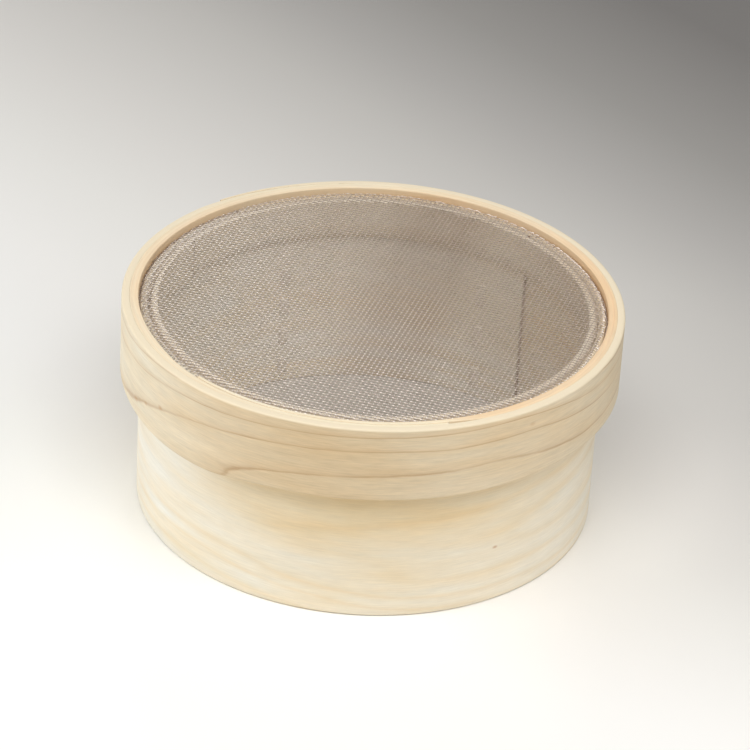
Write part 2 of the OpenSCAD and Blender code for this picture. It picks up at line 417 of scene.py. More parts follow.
# %% Grain group
grain_group = bpy.data.node_groups.new("bent board grain", "ShaderNodeTree")
for name, kind, value in (
    ("Wood", "NodeSocketColor", (0.8, 0.7, 0.5, 1.0)),
    ("Line", "NodeSocketColor", (0.4, 0.25, 0.12, 1.0)),
    ("Warm", "NodeSocketColor", (0.8, 0.6, 0.4, 1.0)),
    ("Line strength", "NodeSocketFloat", 0.6),
    ("Band strength", "NodeSocketFloat", 0.4),
    ("Fibre strength", "NodeSocketFloat", 0.04),
    ("Wander", "NodeSocketFloat", 0.08),
):
    socket = grain_group.interface.new_socket(name, in_out="INPUT", socket_type=kind)
    socket.default_value = value
for name, kind in (("Colour", "NodeSocketColor"), ("Roughness", "NodeSocketFloat"),
                   ("Height", "NodeSocketFloat")):
    grain_group.interface.new_socket(name, in_out="OUTPUT", socket_type=kind)

g = grain_group
given = g.nodes.new("NodeGroupInput").outputs
place = put(g, "ShaderNodeAttribute", {"attribute_name": "grain"}, None, 1)
years = put(g, "ShaderNodeAttribute", {"attribute_name": "age"}, None, 2)
slow = cloudy(g, place, (0.022, 0.15, 0.11))
quick = cloudy(g, place, (0.16, 0.5, 0.5), 3.0)
drift = sums(g, "MULTIPLY", slow, given["Wander"])
drift = sums(g, "MULTIPLY_ADD", quick, 0.012, drift)
years = sums(g, "ADD", years, drift)
share = sums(g, "FRACT", years)
line = profile(g, share, [(0.0, 0.5), (0.03, 0.0), (0.7, 0.0), (0.88, 0.12), (0.94, 0.35),
                          (0.975, 1.0), (1.0, 0.8)])
band = profile(g, share, [(0.0, 0.8), (0.1, 0.45), (0.25, 0.1), (0.5, 0.0), (0.75, 0.4),
                          (0.92, 1.0), (1.0, 0.8)])
fade = sums(g, "MULTIPLY_ADD", cloudy(g, place, (0.03, 0.05, 0.09), 3.0), 0.4, 0.75)
line = sums(g, "MULTIPLY", line, fade)
fibre = cloudy(g, place, (0.12, 1.7, 1.7), 3.0, 0.6)
streak = cloudy(g, place, (0.02, 0.4, 0.4), 2.0)
cloud = cloudy(g, place, (0.012, 0.06, 0.07), 2.0)
patch = cloudy(g, place, (0.03, 0.13, 0.15), 3.0)
warmth = sums(g, "MULTIPLY_ADD", cloud, 0.25, 0.28)
warmth = sums(g, "MULTIPLY_ADD", patch, 0.22, warmth)
warmth = sums(g, "MULTIPLY_ADD", band, given["Band strength"], warmth)
colour = mixed(g, warmth, given["Wood"], given["Warm"])
tone = sums(g, "MULTIPLY", sums(g, "MULTIPLY_ADD", streak, 0.5, fibre), given["Fibre strength"])
tone = sums(g, "ADD", tone, 1.0)
cool = cloudy(g, place, (0.025, 0.2, 0.13), 3.0)
grey = put(g, "ShaderNodeCombineColor", None,
           {0: sums(g, "MULTIPLY_ADD", cool, 0.02, tone), 1: tone,
            2: sums(g, "MULTIPLY_ADD", cool, -0.03, tone)})
colour = mixed(g, 1.0, colour, grey, "MULTIPLY")
shown = sums(g, "MULTIPLY", line, given["Line strength"])
colour = mixed(g, shown, colour, given["Line"])
rough = sums(g, "MULTIPLY_ADD", fibre, 0.05, 0.62)
rough = sums(g, "MULTIPLY_ADD", line, -0.1, rough)
height = sums(g, "MULTIPLY_ADD", line, 0.5, fibre)
done = g.nodes.new("NodeGroupOutput")
for key, value in (("Colour", colour), ("Roughness", rough), ("Height", height)):
    g.links.new(value, done.inputs[key])
print("grain group has", len(g.nodes), "nodes")


# %% [markdown]
# ## One material for each board
# The boards are of the same wood, but the eye tells them apart: the hoop's outer ply shows brown
# lines, its inner ply is peach on the rim, and the body is the palest, with faint yellow lines. The
# sanded rim is paler than the face below it. A small knot is a dark spot in the flat board, with a
# softer ring round it. A cut end is dark end grain, and the faces just beside each tip carry painted
# shade of the step there.
#
# Two shares that are stored in the mesh tint the wood. Stain is for heartwood and amber wood, and on
# the body it also carries warm painted shade high under the hoop. Shade is painted shade: inside the
# drum, in the trough below the cloth's edge and on the hoop's inner face. One tint for a whole board
# would make it look painted.

# %% Wood of a board
KNOT = paint(184, 130, 72)
# Dark end grain, which also serves as painted shade on the faces beside a tip.
END_GRAIN_AND_SHADE = paint(112, 76, 48)


def wood(name, wood_colour, line_colour, warm_colour, strengths, rim=None, knots=(), stained=None,
         shaded=None, end=0.0, bump=0.1):
    """Material of one board. strengths are line, band, fibre and wander; rim is its colour, the
    heights where it starts and ends, and its share; a knot is place, height, size and share"""
    material, tree, shader = new_material(name)
    grain = tree.nodes.new("ShaderNodeGroup")
    grain.node_tree = grain_group
    names = ("Line strength", "Band strength", "Fibre strength", "Wander")
    for key, value in zip(names, strengths):
        grain.inputs[key].default_value = value
    grain.inputs["Line"].default_value = line_colour
    grain.inputs["Warm"].default_value = warm_colour
    grain.inputs["Wood"].default_value = wood_colour
    colour = grain.outputs["Colour"]
    flat_place = put(tree, "ShaderNodeAttribute", {"attribute_name": "grain"}, None, 1)
    parts = put(tree, "ShaderNodeSeparateXYZ", None, {0: flat_place})
    along, _, up = parts.node.outputs
    # The stain share mixes in the board's stain tint, and the shade share mixes in painted shade.
    for key, tint in (("stain", stained), ("shade", shaded)):
        if tint is not None:
            reached = put(tree, "ShaderNodeAttribute", {"attribute_name": key}, None, 2)
            colour = mixed(tree, reached, colour, mixed(tree, 1.0, colour, tint, "MULTIPLY"))
    if rim is not None:
        rim_colour, low, high, most = rim
        colour = mixed(tree, ranged(tree, up, low, high, 0.0, most), colour, rim_colour)
    for knot_along, knot_up, size, dark in knots:
        spot = put(tree, "ShaderNodeVectorMath", {"operation": "SUBTRACT"},
                   {0: flat_place, 1: (knot_along, 0.0, knot_up)})
        spot = put(tree, "ShaderNodeVectorMath", {"operation": "MULTIPLY"},
                   {0: spot, 1: (0.6 / size, 0.25, 1.0 / size)})
        far = put(tree, "ShaderNodeVectorMath", {"operation": "LENGTH"}, {0: spot}, 1)
        colour = mixed(tree, ranged(tree, far, 0.2, 1.6, dark, 0.0), colour, KNOT)
    # Near each tip the dark colour is end grain on the cut face and painted shade of the step on the
    # faces beside it.
    inner_end_and_shade = ranged(tree, along, 0.0, 1.2, 0.6, 0.0, "LINEAR")
    outer_end_and_shade = ranged(tree, along, end - 0.5, end, 0.0, 0.4, "LINEAR")
    colour = mixed(tree, sums(tree, "MAXIMUM", inner_end_and_shade, outer_end_and_shade), colour, END_GRAIN_AND_SHADE)
    tree.links.new(colour, shader.inputs["Base Color"])
    tree.links.new(grain.outputs["Roughness"], shader.inputs["Roughness"])
    bumped = put(tree, "ShaderNodeBump", None,
                 {"Strength": bump, "Distance": 0.0003, "Height": grain.outputs["Height"]})
    tree.links.new(bumped, shader.inputs["Normal"])
    print(name, "has", len(tree.nodes), "nodes and", len(knots), "knots")
    return material


# %% [markdown]
# ## The hoop
# The hoop was bent of two plies. Its outer ply is a single board whose lap lies at the back.
# Its lower edge was trimmed by hand and waves by a few millimetres, and the hoop bulges a
# little where the inner ply's end lies under it. The plies are sanded flush at the rim, so
# their corners there stay sharp and only a hair line parts them. The inner ply's peach is
# strongest at the right, faint at the back and missing at the front left. A round tube would
# be quicker to make, but it has no ends, and the eye finds both ends of the ply at the front.

# %% Shape of the hoop
hoop_foot = round_curve([(0, 58.2), (30, 57), (60, 56.4), (100, 56.4), (140, 56.3), (180, 56),
                         (200, 55.5), (215, 54.3), (225, 54.2), (235, 54.6), (241, 56.0),
                         (248, 57.2), (262, 57.5), (275, 57.8), (287, 58), (300, 58.5),
                         (312, 58.8), (330, 59)], 3.0)


BULGE = 0.6
BULGE_AT = 233.0


def swollen(radius, degrees):
    """Radius after the hoop's bulge over the inner ply's end, which is steeper in front"""
    away = np.mod(degrees, 360.0) - BULGE_AT
    bulge = BULGE * np.exp(-((away / np.where(away < 0.0, 22.0, 14.0)) ** 2))
    return radius + bulge * np.clip((radius - HOOP_IN_R) / INNER_PLY_T, 0.0, 1.0)


def heartwood(s, z, depth, r):
    """Share of darker heartwood in the outer ply: most at the front, none at the left"""
    return np.interp(s, [205.0, 219.0, 235.0, 252.0, 272.0, 288.0, 305.0, 325.0, 350.0],
                     [0.1, 0.25, 0.65, 1.0, 1.0, 0.7, 0.6, 0.6, 0.4])


OUTER_LAP_AT = 100.0
OUTER_LAP_LENGTH = 55.0
OUTER_LAP = math.degrees(OUTER_LAP_LENGTH / HOOP_R)
outer_ply = bent_board(
    "hoop_outer_board", OUTER_LAP_AT, OUTER_LAP, (HOOP_R - OUTER_PLY_T, HOOP_R, 0.4, 5.0, 5.0),
    hoop_foot, RIM_TOP, (0.25, 0.8, 0.8, 0.06), 20,
    lambda s, z, depth: hoop_age(s, z) + 0.33 * depth, shift=swollen, marks={"stain": heartwood})


# %% Inner ply of the hoop
def ply_age(s, z, depth):
    """Growth lines of a board that was sawn nearly upright"""
    return 0.06 * z + 0.55 * depth + 0.25 * np.sin(np.radians(s * 1.7)) + 0.006 * s


def peach(s, z, depth, r):
    """Share of peach heartwood along the ply: full at the right, faint at the back and the
    ends, and a little stronger on the inner face than on the outer one"""
    spots = [296.0, 330.0, 380.0, 420.0, 445.0, 485.0, 505.0, 520.0, 540.0, 560.0, 575.0, 590.0]
    inner = np.interp(s, spots, [0.8, 0.9, 1.0, 0.6, 0.35, 0.35, 0.6, 0.8, 0.65, 0.4, 0.15, 0.0])
    outer = np.interp(s, spots, [0.6, 0.75, 0.8, 0.35, 0.1, 0.05, 0.12, 0.2, 0.45, 0.3, 0.1, 0.0])
    share = outer + (inner - outer) * np.clip(depth / INNER_PLY_T, 0.0, 1.0)
    return share * ease((s - 284.0) / 12.0)


def painted_wall_shade(s, z, depth, r):
    """Share of grey painted shade on the hoop's inner face, the low wall between rim and cloth"""
    return 0.6 * ease((HOOP_IN_R + 0.35 - r) / 0.3)


INNER_LAP_AT = 226.0
INNER_LAP_LENGTH = 106.0
INNER_LAP = math.degrees(INNER_LAP_LENGTH / INNER_PLY_R)
inner_ply = bent_board(
    "hoop_inner_board", INNER_LAP_AT, INNER_LAP, (HOOP_IN_R, INNER_PLY_R, 1.35, 20.0, 8.0),
    lambda s: hoop_foot(s) + 0.3, RIM_TOP, (0.3, 0.25, 0.06, 0.45), 12, ply_age,
    shift=swollen, crown=12, marks={"stain": peach, "shade": painted_wall_shade})

# %% [markdown]
# ## The body and its stiffening ring
# The body board makes the drum. Its lap is long and lies at the back right: the inner end, dark end
# grain with painted shade beside its tip, shows through the cloth as a dark upright line. The
# stiffening ring is glued inside the upper edge, and the cloth rests on its crest. The body's own
# edge lies a little lower, and the trough between the two carries painted shade. The ring's inner
# foot is thinned by a long rounding, so it throws no hard shadow. The faces inside the drum carry
# painted shade, most in a slanted zone at the back right. The lamps alone would not darken that zone,
# so it is painted as a share on the faces.

# %% Shape of the body and the ring
SLANT = 0.2
TROUGH_IN = 87.6
TROUGH_OUT = 90.2
TROUGH_Z = 84.0


def painted_shade_within(edge, most):
    """Share of painted shade on the faces within a radius, most in a slanted zone at the back right,
    and in the trough between ring and body"""
    def share(s, z, depth, r):
        slanted = np.mod(s + SLANT * (z - 50.0), 360.0)
        around = np.interp(slanted, [0.0, 35.0, 60.0, 71.0, 84.0, 97.0, 220.0, 310.0, 360.0],
                           [0.4, 0.3, 0.1, 0.6, 0.5, 0.0, 0.0, 0.2, 0.4])
        within = ease((edge - r) / 0.4 + 0.5) * around * most
        trough = ease((r - TROUGH_IN) / 0.5) * ease((TROUGH_OUT - r) / 0.5) * (z > TROUGH_Z)
        return np.maximum(within, 0.6 * trough)
    return share


def honey_and_hoop_shade(s, z, depth, r):
    """Share of amber wood on the body, none at the left and most at the front, and of warm painted
    shade high up under the hoop's edge
    """
    around = np.interp(s, [218.0, 246.0, 268.0, 300.0, 330.0], [0.0, 0.75, 1.0, 0.75, 0.35])
    return around * (0.32 + 0.68 * ease((z - 21.0) / 28.0))


BODY_LAP_AT = 46.0
BODY_LAP_LENGTH = 134.0
BODY_LAP = math.degrees(BODY_LAP_LENGTH / BODY_R)
BODY_TOP = SEAT_Z - 0.4
body = bent_board(
    "drum_body_board", BODY_LAP_AT, BODY_LAP, (BODY_R - BODY_T, BODY_R, 1.2, 7.0, 6.0),
    0.0, BODY_TOP, (0.3, 0.8, 1.2, 1.0), 42, lambda s, z, depth: body_age(s, z) + 0.3 * depth,
    marks={"stain": honey_and_hoop_shade, "shade": painted_shade_within(BODY_R - BODY_T / 2, 1.0)})

RING_LAP_AT = 150.0
RING_LAP_LENGTH = 54.0
RING_LAP = math.degrees(RING_LAP_LENGTH / RING_R)
RING_FOOT = (2.6, 6.0)
ring = bent_board(
    "stiffening_board", RING_LAP_AT, RING_LAP, (RING_R - RING_T, RING_R, 0.3, 5.0, 5.0),
    SEAT_Z - RING_H, SEAT_Z, (RING_FOOT, 0.3, 1.5, 0.3), 10,
    lambda s, z, depth: 0.09 * z + 0.4 * depth + 0.3 * np.sin(np.radians(s * 1.3)),
    marks={"shade": painted_shade_within(RING_R - RING_T + 0.8, 1.3)})

# %% Woods of the four boards
def flat_spot(degrees, start, middle):
    """Millimetres along a board to an angle on the drum"""
    return math.radians(degrees - start) * middle


HOOP_MIDDLE = HOOP_R - OUTER_PLY_T / 2
BODY_MIDDLE = BODY_R - BODY_T / 2
hoop_wood = wood(
    "hoop cypress", paint(233, 224, 203), paint(172, 130, 76), paint(226, 206, 171),
    (0.56, 0.22, 0.08, 0.04), (paint(239, 224, 195), 88.0, 88.9, 0.95),
    [(flat_spot(217.5, OUTER_LAP_AT, HOOP_MIDDLE), 69.6, 0.8, 0.45),
     (flat_spot(211.0, OUTER_LAP_AT, HOOP_MIDDLE), 65.4, 0.7, 0.4),
     (flat_spot(205.5, OUTER_LAP_AT, HOOP_MIDDLE), 62.2, 1.2, 0.4),
     (flat_spot(309.0, OUTER_LAP_AT, HOOP_MIDDLE), 82.5, 0.8, 0.25)],
    stained=paint(240, 225, 204), end=piece_length["hoop_outer_board"])
body_wood = wood(
    "body cypress", paint(242, 237, 224), paint(214, 178, 124), paint(238, 223, 194),
    (0.05, 0.5, 0.05, 0.06), None,
    [(flat_spot(304.6, BODY_LAP_AT, BODY_MIDDLE), 24.7, 0.6, 0.6)],
    stained=paint(248, 232, 202), shaded=paint(204, 194, 184),
    end=piece_length["drum_body_board"])
ply_wood = wood(
    "peach ply", paint(244, 232, 204), paint(206, 158, 112), paint(242, 220, 184),
    (0.2, 0.3, 0.05, 0.1), stained=paint(250, 230, 212), shaded=paint(208, 200, 192),
    end=piece_length["hoop_inner_board"])
ring_wood = wood(
    "ring cypress", paint(240, 231, 212), paint(200, 164, 120), paint(236, 221, 194),
    (0.1, 0.3, 0.035, 0.08), shaded=paint(204, 194, 184), end=piece_length["stiffening_board"])
for piece, material, slot, node in (
    (outer_ply, hoop_wood, "hoop_wood", "hoop_outer_ply"),
    (inner_ply, ply_wood, "ply_wood", "hoop_inner_ply"),
    (body, body_wood, "body_wood", "body_board"),
    (ring, ring_wood, "ring_wood", "stiffening_ring"),
):
    piece.data.materials.append(material)
    stand_for(piece, node)
    print(piece.name, "is of", material.name)

# %% [markdown]
# ## The wire cloth
# Plain weave follows a rule: each wire goes over one crossing wire and under the next. So
# Geometry Nodes weave it. One wire is a row of points, half a pitch apart; it is repeated
# across the drum, cut to a disc, and each point is lifted or lowered by a cosine whose sign
# changes from wire to wire. At the edge the cloth bends down, as the real one is folded
# between body and hoop, and each wire strays a little, because no loom is perfect. An image
# or a bump would not let the inside of the drum show through.

# %% Helpers for geometry trees
def open_tree(name, sockets):
    """New geometry tree with named inputs, one geometry output and its group input node"""
    tree = bpy.data.node_groups.new(name, "GeometryNodeTree")
    tree.interface.new_socket("Geometry", in_out="OUTPUT", socket_type="NodeSocketGeometry")
    for label, kind, value in sockets:
        made = tree.interface.new_socket(label, in_out="INPUT", socket_type="NodeSocket" + kind)
        if value is not None:
            made.default_value = value
    return tree, tree.nodes.new("NodeGroupInput").outputs


def vector(tree, x=0.0, y=0.0, z=0.0):
    """Vector from three numbers or sockets"""
    return put(tree, "ShaderNodeCombineXYZ", None, {0: x, 1: y, 2: z})


def close_tree(tree, wires, given):
    """Turns curves into round wires, makes them real and gives them their material"""
    half = sums(tree, "MULTIPLY", given["Wire"], 0.5)
    rod = put(tree, "GeometryNodeCurvePrimitiveCircle", None,
              {"Resolution": given["Sides"], "Radius": half})
    solid = put(tree, "GeometryNodeCurveToMesh", None, {"Curve": wires, "Profile Curve": rod})
    finish_tree(tree, solid, given["Material"])


def finish_tree(tree, solid, material):
    """Ends a tree with smooth faces, made real, in their material"""
    smooth = put(tree, "GeometryNodeSetShadeSmooth", None, {"Geometry": solid})
    real = put(tree, "GeometryNodeRealizeInstances", None, {"Geometry": smooth})
    dressed = put(tree, "GeometryNodeSetMaterial", None, {"Geometry": real, "Material": material})
    tree.links.new(dressed, tree.nodes.new("NodeGroupOutput").inputs[0])


def grown(name, tree, values):
    """Object with the plain mesh that a tree makes from these values"""
    piece = add_object(name, bpy.data.meshes.new(name))
    maker = piece.modifiers.new("maker", "NODES")
    maker.node_group = tree
    keys = {item.name: item.identifier for item in tree.interface.items_tree
            if item.item_type == "SOCKET" and item.in_out == "INPUT"}
    for label, value in values.items():
        maker[keys[label]] = value
    bpy.context.view_layer.update()
    graph = bpy.context.evaluated_depsgraph_get()
    mesh = bpy.data.meshes.new_from_object(piece.evaluated_get(graph), depsgraph=graph)
    piece.modifiers.clear()
    piece.data = mesh
    mesh.name = name
    triangles = sum(len(p.vertices) - 2 for p in mesh.polygons)
    print(name, "has", len(mesh.vertices), "points and", triangles, "triangles")
    return piece


# %% Tree of one layer of woven wires
STRAY_WAVES = (25.0, 420.0, 0.0)
STRAY_SHARE = (0.3, 3.0, 0.3)
SEED_STEP = 7.3
weave, given = open_tree("woven wires", [
    ("Pitch", "Float", 0.0018), ("Wire", "Float", 0.00035), ("Flat radius", "Float", 0.091),
    ("Bend radius", "Float", 0.0014), ("Tail", "Float", 0.002), ("Height", "Float", 0.087),
    ("Turn", "Float", 0.0), ("Over", "Float", 1.0), ("Unevenness", "Float", 0.00003),
    ("Seed", "Int", 1), ("Sides", "Int", 5), ("Material", "Material", None)])
t = weave
quarter = sums(t, "MULTIPLY", given["Bend radius"], math.pi / 2)
edge = sums(t, "ADD", sums(t, "ADD", given["Flat radius"], quarter), given["Tail"])
side = sums(t, "CEIL", sums(t, "DIVIDE", edge, given["Pitch"]))
start = sums(t, "MULTIPLY", sums(t, "MULTIPLY", side, given["Pitch"]), -1.0)
half_pitch = sums(t, "MULTIPLY", given["Pitch"], 0.5)
one = put(t, "GeometryNodeMeshLine", {"mode": "OFFSET"},
          {"Count": sums(t, "MULTIPLY_ADD", side, 4.0, 1.0),
           "Start Location": vector(t, start), "Offset": vector(t, half_pitch)})
rows = put(t, "GeometryNodeMeshLine", {"mode": "OFFSET"},
           {"Count": sums(t, "MULTIPLY_ADD", side, 2.0, 1.0),
            "Start Location": vector(t, 0.0, start),
            "Offset": vector(t, 0.0, given["Pitch"])})
one = put(t, "GeometryNodeMeshToCurve", None, {"Mesh": one})
net = put(t, "GeometryNodeInstanceOnPoints", None, {"Points": rows, "Instance": one})
net = put(t, "GeometryNodeRealizeInstances", None, {"Geometry": net})
flat = put(t, "GeometryNodeInputPosition")
far = put(t, "ShaderNodeVectorMath", {"operation": "LENGTH"}, {0: flat}, 1)
outside = put(t, "FunctionNodeCompare", {"data_type": "FLOAT", "operation": "GREATER_THAN"},
              {0: far, 1: edge})
net = put(t, "GeometryNodeDeleteGeometry", {"domain": "POINT"}, {0: net, 1: outside})
spot = put(t, "ShaderNodeSeparateXYZ", None, {0: flat}).node.outputs
wire_number = sums(t, "ROUND", sums(t, "DIVIDE", spot[1], given["Pitch"]))
phase = sums(t, "ADD", wire_number, sums(t, "DIVIDE", spot[0], given["Pitch"]))
crest = sums(t, "MULTIPLY", sums(t, "COSINE", sums(t, "MULTIPLY", phase, math.pi)), given["Over"])
net = put(t, "GeometryNodeStoreNamedAttribute", {"data_type": "FLOAT"},
          {"Geometry": net, "Name": "crest", "Value": crest})
wave = sums(t, "MULTIPLY", crest, sums(t, "MULTIPLY", given["Wire"], 0.5))
past = sums(t, "MAXIMUM", sums(t, "SUBTRACT", far, given["Flat radius"]), 0.0)
bend = sums(t, "MINIMUM", sums(t, "DIVIDE", past, given["Bend radius"]), math.pi / 2)
straight = sums(t, "MINIMUM", far, given["Flat radius"])
swing = sums(t, "MULTIPLY", sums(t, "SINE", bend), given["Bend radius"])
drop = sums(t, "SUBTRACT", 1.0, sums(t, "COSINE", bend))
drop = sums(t, "MULTIPLY", drop, given["Bend radius"])
drop = sums(t, "ADD", drop, sums(t, "MAXIMUM", sums(t, "SUBTRACT", past, quarter), 0.0))
reach = sums(t, "ADD", sums(t, "ADD", straight, swing),
             sums(t, "MULTIPLY", wave, sums(t, "SINE", bend)))
rise = sums(t, "SUBTRACT", sums(t, "MULTIPLY", wave, sums(t, "COSINE", bend)), drop)
grow = sums(t, "DIVIDE", reach, sums(t, "MAXIMUM", far, 0.0001))
laid = vector(t, sums(t, "MULTIPLY", spot[0], grow), sums(t, "MULTIPLY", spot[1], grow), rise)
seeded = vector(t, 0.0, 0.0, sums(t, "MULTIPLY", given["Seed"], SEED_STEP))
where = put(t, "ShaderNodeVectorMath", {"operation": "MULTIPLY_ADD"},
            {0: flat, 1: STRAY_WAVES, 2: seeded})
stray = put(t, "ShaderNodeTexNoise", None, {"Vector": where, "Scale": 1.0, "Detail": 1.0}, 1)
stray = put(t, "ShaderNodeVectorMath", {"operation": "SUBTRACT"}, {0: stray, 1: (0.5, 0.5, 0.5)})
stray = put(t, "ShaderNodeVectorMath", {"operation": "MULTIPLY"}, {0: stray, 1: STRAY_SHARE})
size = put(t, "ShaderNodeVectorMath", {"operation": "SCALE"},
           {0: stray, "Scale": given["Unevenness"]})
laid = put(t, "ShaderNodeVectorMath", {"operation": "ADD"}, {0: laid, 1: size})
net = put(t, "GeometryNodeSetPosition", None, {"Geometry": net, "Position": laid})
net = put(t, "GeometryNodeTransform", None,
          {"Geometry": net, "Translation": vector(t, 0.0, 0.0, given["Height"]),
           "Rotation": vector(t, 0.0, 0.0, given["Turn"])})
close_tree(t, net, given)
print("weaving tree has", len(t.nodes), "nodes")

# %% [markdown]
# ## The cloth's folded edge
# The cloth's edge is bent over the body and hangs down between body and hoop. The upper half of the
# bend is made by the flat cloth's own wires, which shows as a row of bright dots along the rim,
# helped by a painted highlight on those wires. A second tree makes what is below, nearly all out of
# sight: wires that end the bend and hang for about 19 mm, and level wires round them, over and under
# in turn.
# Bending the whole flat cloth down would gather its wires in folds, as paper does on a jar.

# %% Tree of the folded edge
BEND_SHARE = 0.3
skirt, given = open_tree("folded edge", [
    ("Around", "Int", 322), ("Levels", "Int", 12), ("Pitch", "Float", 0.0018),
    ("Wire", "Float", 0.00035), ("Radius", "Float", 0.0929), ("Bend radius", "Float", 0.0014),
    ("Bend start", "Float", 0.0856), ("Sides", "Int", 4), ("Material", "Material", None)])
t = skirt
turn_length = sums(t, "MULTIPLY", given["Bend radius"], math.pi / 2)
fine_step = sums(t, "MULTIPLY", given["Pitch"], 0.25)
high = sums(t, "MULTIPLY_ADD", turn_length, BEND_SHARE, given["Bend start"])
circle = put(t, "GeometryNodeMeshCircle", None,
             {"Vertices": given["Around"], "Radius": given["Radius"]})
column = put(t, "GeometryNodeMeshLine", {"mode": "OFFSET"},
             {"Count": sums(t, "MULTIPLY_ADD", given["Levels"], 4.0, 1.0),
              "Start Location": vector(t, 0.0, 0.0, high),
              "Offset": vector(t, 0.0, 0.0, sums(t, "MULTIPLY", fine_step, -1.0))})
levels = put(t, "GeometryNodeMeshLine", {"mode": "OFFSET"},
             {"Count": given["Levels"], "Start Location": vector(t, 0.0, 0.0, given["Bend start"]),
              "Offset": vector(t, 0.0, 0.0, sums(t, "MULTIPLY", given["Pitch"], -1.0))})
upright = put(t, "GeometryNodeInstanceOnPoints", None,
              {"Points": circle, "Instance": put(t, "GeometryNodeMeshToCurve", None, {0: column})})
level = put(t, "GeometryNodeInstanceOnPoints", None,
            {"Points": levels, "Instance": put(t, "GeometryNodeMeshToCurve", None, {0: circle})})
spot = put(t, "ShaderNodeSeparateXYZ", None, {0: put(t, "GeometryNodeInputPosition")}).node.outputs
around = sums(t, "DIVIDE", sums(t, "ARCTAN2", spot[1], spot[0]), 2 * math.pi)
around = sums(t, "ROUND", sums(t, "MULTIPLY", around, given["Around"]))
above = sums(t, "SUBTRACT", spot[2], given["Bend start"])
down = sums(t, "DIVIDE", above, given["Pitch"])
crest = sums(t, "COSINE", sums(t, "MULTIPLY", sums(t, "ADD", around, down), math.pi))
wave = sums(t, "MULTIPLY", crest, sums(t, "MULTIPLY", given["Wire"], 0.5))
bend = sums(t, "DIVIDE", sums(t, "MAXIMUM", above, 0.0), given["Bend radius"])
bend = sums(t, "MINIMUM", bend, math.pi / 2)
beyond = sums(t, "MAXIMUM", sums(t, "SUBTRACT", above, turn_length), 0.0)
inward = sums(t, "MULTIPLY", sums(t, "SUBTRACT", 1.0, sums(t, "COSINE", bend)),
              given["Bend radius"])
inward = sums(t, "ADD", inward, beyond)
upward = sums(t, "MULTIPLY", sums(t, "SINE", bend), given["Bend radius"])
upward = sums(t, "ADD", upward, sums(t, "MINIMUM", above, 0.0))
moved = []
for wires, sign in ((upright, 1.0), (level, -1.0)):
    real = put(t, "GeometryNodeRealizeInstances", None, {"Geometry": wires})
    real = put(t, "GeometryNodeStoreNamedAttribute", {"data_type": "FLOAT"},
               {"Geometry": real, "Name": "crest", "Value": sums(t, "MULTIPLY", crest, sign)})
    swing = sums(t, "MULTIPLY", wave, sign)
    away = sums(t, "SUBTRACT", sums(t, "MULTIPLY", swing, sums(t, "COSINE", bend)), inward)
    grow = sums(t, "ADD", 1.0, sums(t, "DIVIDE", away, given["Radius"]))
    lift = sums(t, "MULTIPLY", swing, sums(t, "SINE", bend))
    height = sums(t, "ADD", sums(t, "ADD", given["Bend start"], upward), lift)
    laid = vector(t, sums(t, "MULTIPLY", spot[0], grow), sums(t, "MULTIPLY", spot[1], grow),
                  height)
    moved.append(put(t, "GeometryNodeSetPosition", None, {"Geometry": real, "Position": laid}))
both = t.nodes.new("GeometryNodeJoinGeometry")
for wires in moved:
    t.links.new(wires, both.inputs[0])
close_tree(t, both.outputs[0], given)
print("folded edge tree has", len(t.nodes), "nodes")

# %% [markdown]
# ## Satin steel
# The wires are drawn from steel, so they mirror the room softly. Their crests carry a painted
# highlight: lighter steel, laid on by the crest value that the weave stores on each point. To the
# right the flat cloth carries painted shade, which is darker steel, and where it bends at the rim
# there it carries a painted highlight instead. A single tone of steel would lose the weave from afar,
# because a wire is thinner than a pixel there.

# %% Satin steel of the wires
wire_steel, tree, shader = new_material("satin steel wire")
shader.inputs["Metallic"].default_value = 1.0
at = put(tree, "ShaderNodeTexCoord", None, None, 3)
drawn = cloudy(tree, at, (900.0, 900.0, 900.0), 2.0)
crest = put(tree, "ShaderNodeAttribute", {"attribute_name": "crest"}, None, 2)
# Painted highlight on the crests: lighter steel where the crest value is high.
crest_highlight = sums(tree, "MULTIPLY_ADD", drawn, 0.12, ranged(tree, crest, 0.3, 0.85))
spot = put(tree, "ShaderNodeSeparateXYZ", None, {0: at}).node.outputs
# Painted shade towards the right of the cloth: darker steel there.
to_right = sums(tree, "MULTIPLY_ADD", spot[1], 0.7, spot[0])
right_shade = ranged(tree, to_right, -0.04, 0.06)
# Painted highlight on the bent wires at the rim, where the flat cloth is otherwise painted darker.
bent = ranged(tree, from_axis(tree, at), (FLAT_R - 0.6) * MM, (FLAT_R + 0.4) * MM)
bend_highlight = sums(tree, "MULTIPLY", right_shade, bent)
right_shade = sums(tree, "SUBTRACT", right_shade, bend_highlight)
share = sums(tree, "MULTIPLY_ADD", bend_highlight, 0.7, crest_highlight)
bright = mixed(tree, right_shade, paint(255, 247, 241), paint(207, 193, 182))
plain = mixed(tree, right_shade, paint(202, 189, 180), paint(189, 173, 160))
tree.links.new(mixed(tree, share, plain, bright), shader.inputs["Base Color"])
tree.links.new(sums(tree, "MULTIPLY_ADD", drawn, 0.05, 0.32), shader.inputs["Roughness"])
print("steel has", len(tree.nodes), "nodes")

